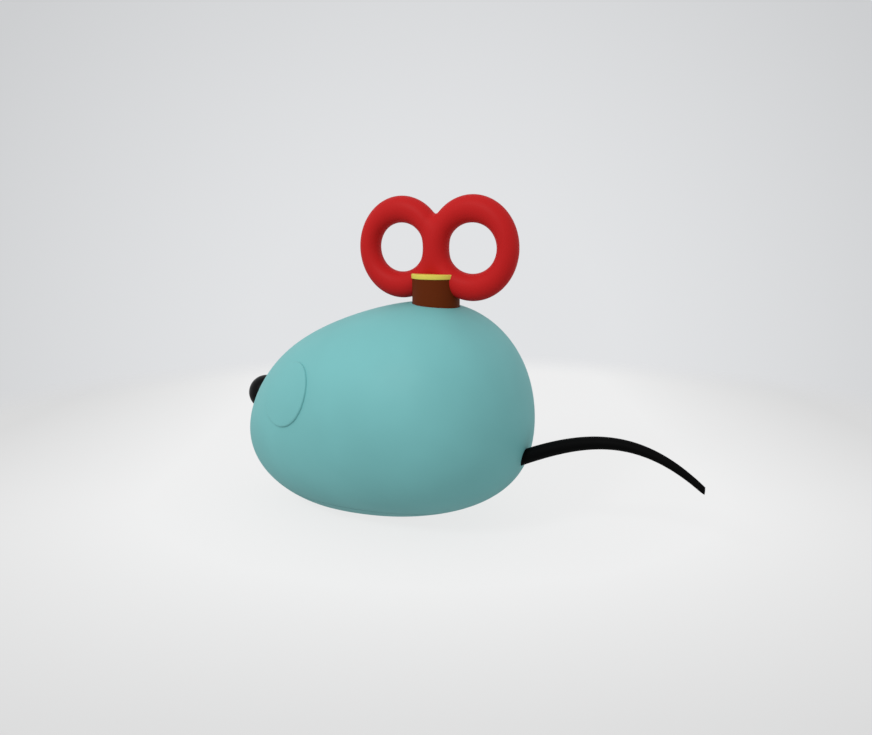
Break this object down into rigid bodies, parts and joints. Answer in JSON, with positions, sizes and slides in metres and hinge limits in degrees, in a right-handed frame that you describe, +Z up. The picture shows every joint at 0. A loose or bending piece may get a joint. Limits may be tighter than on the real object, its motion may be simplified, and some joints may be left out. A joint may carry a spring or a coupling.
{
  "type": "clockwork mouse",
  "caption": "Egg-shaped wind-up mouse with a two-ring key on its back, a gear train to drive wheels in its belly, a steerable front roller, nose bead, ear pads and rubber tail.",
  "frame": {"origin": "on the ground, under the middle of the length from nose bead to tail tip", "axes": "+Z up, -X towards the nose, +X towards the tail"},
  "size_m": [0.124, 0.0536, 0.0801],
  "materials": {
    "teal": "satin moulded plastic",
    "black_gloss": "gloss",
    "black_rubber": "matt",
    "tyre": "matt",
    "red": "satin",
    "brown": "satin",
    "yellow": "satin",
    "brass": "machined",
    "steel": "bright",
    "spring_steel": "blued",
    "zinc": "as cast zinc alloy",
    "movement_plastic": "natural acetal"
  },
  "bodies": {
    "body": {"body_shell": "teal", "belly_pan": "teal", "pan_screws": "steel", "top_bush": "brass", "nose_bead": "black_gloss", "nose_clip": "steel", "left_ear": "teal", "right_ear": "teal", "ear_clips": "steel", "tail": "black_rubber", "tail_clip": "steel", "bottom_plate": "movement_plastic", "top_plate": "movement_plastic", "pillars": "movement_plastic", "pillar_screws": "steel", "rear_screw": "steel", "top_screws": "steel", "mainspring": "spring_steel", "front_block": "zinc", "block_screws": "steel"},
    "great": {"great_wheel": "brass", "click": "spring_steel", "click_rivet": "steel"},
    "key": {"winding_arbor": "steel", "ratchet_wheel": "steel", "arbor_clip": "steel", "key_stem": "brown", "key_collar": "yellow", "key_bow": "red", "key_pin": "steel"},
    "second": {"second_arbor": "steel", "second_pinion": "brass", "crown_wheel": "brass"},
    "drive": {"drive_axle": "steel", "axle_pinion": "brass", "left_drive_wheel": "movement_plastic", "right_drive_wheel": "movement_plastic", "left_drive_tyre": "tyre", "right_drive_tyre": "tyre"},
    "fork": {"steering_fork": "movement_plastic", "fork_clip": "steel", "front_axle": "steel"},
    "roller": {"front_wheel": "movement_plastic", "front_tyre": "tyre"}
  },
  "joints": [
    {"name": "great_spin", "type": "hinge", "parent": "body", "child": "great", "pos_m": [-0.0022, 0, 0.0167], "axis": [0, 0, 1], "continuous": true},
    {"name": "key_wind", "type": "hinge", "parent": "great", "child": "key", "pos_m": [-0.0022, 0, 0.053], "axis": [0, 0, -1], "range_deg": [0, 1800]},
    {"name": "second_spin", "type": "hinge", "parent": "body", "child": "second", "pos_m": [-0.01234, 0.0066, 0.016], "axis": [0, 0, 1], "continuous": true},
    {"name": "drive_spin", "type": "hinge", "parent": "body", "child": "drive", "pos_m": [-0.01234, 0, 0.006], "axis": [0, 1, 0], "continuous": true},
    {"name": "fork_turn", "type": "hinge", "parent": "body", "child": "fork", "pos_m": [-0.0362, 0, 0.01], "axis": [0, 0, 1], "range_deg": [-25, 25]},
    {"name": "front_spin", "type": "hinge", "parent": "fork", "child": "roller", "pos_m": [-0.0362, 0, 0.004], "axis": [0, 1, 0], "continuous": true}
  ],
  "couplings": [
    {"joint": "second_spin", "follows": "great_spin", "ratio": -3},
    {"joint": "drive_spin", "follows": "great_spin", "ratio": -6}
  ]
}
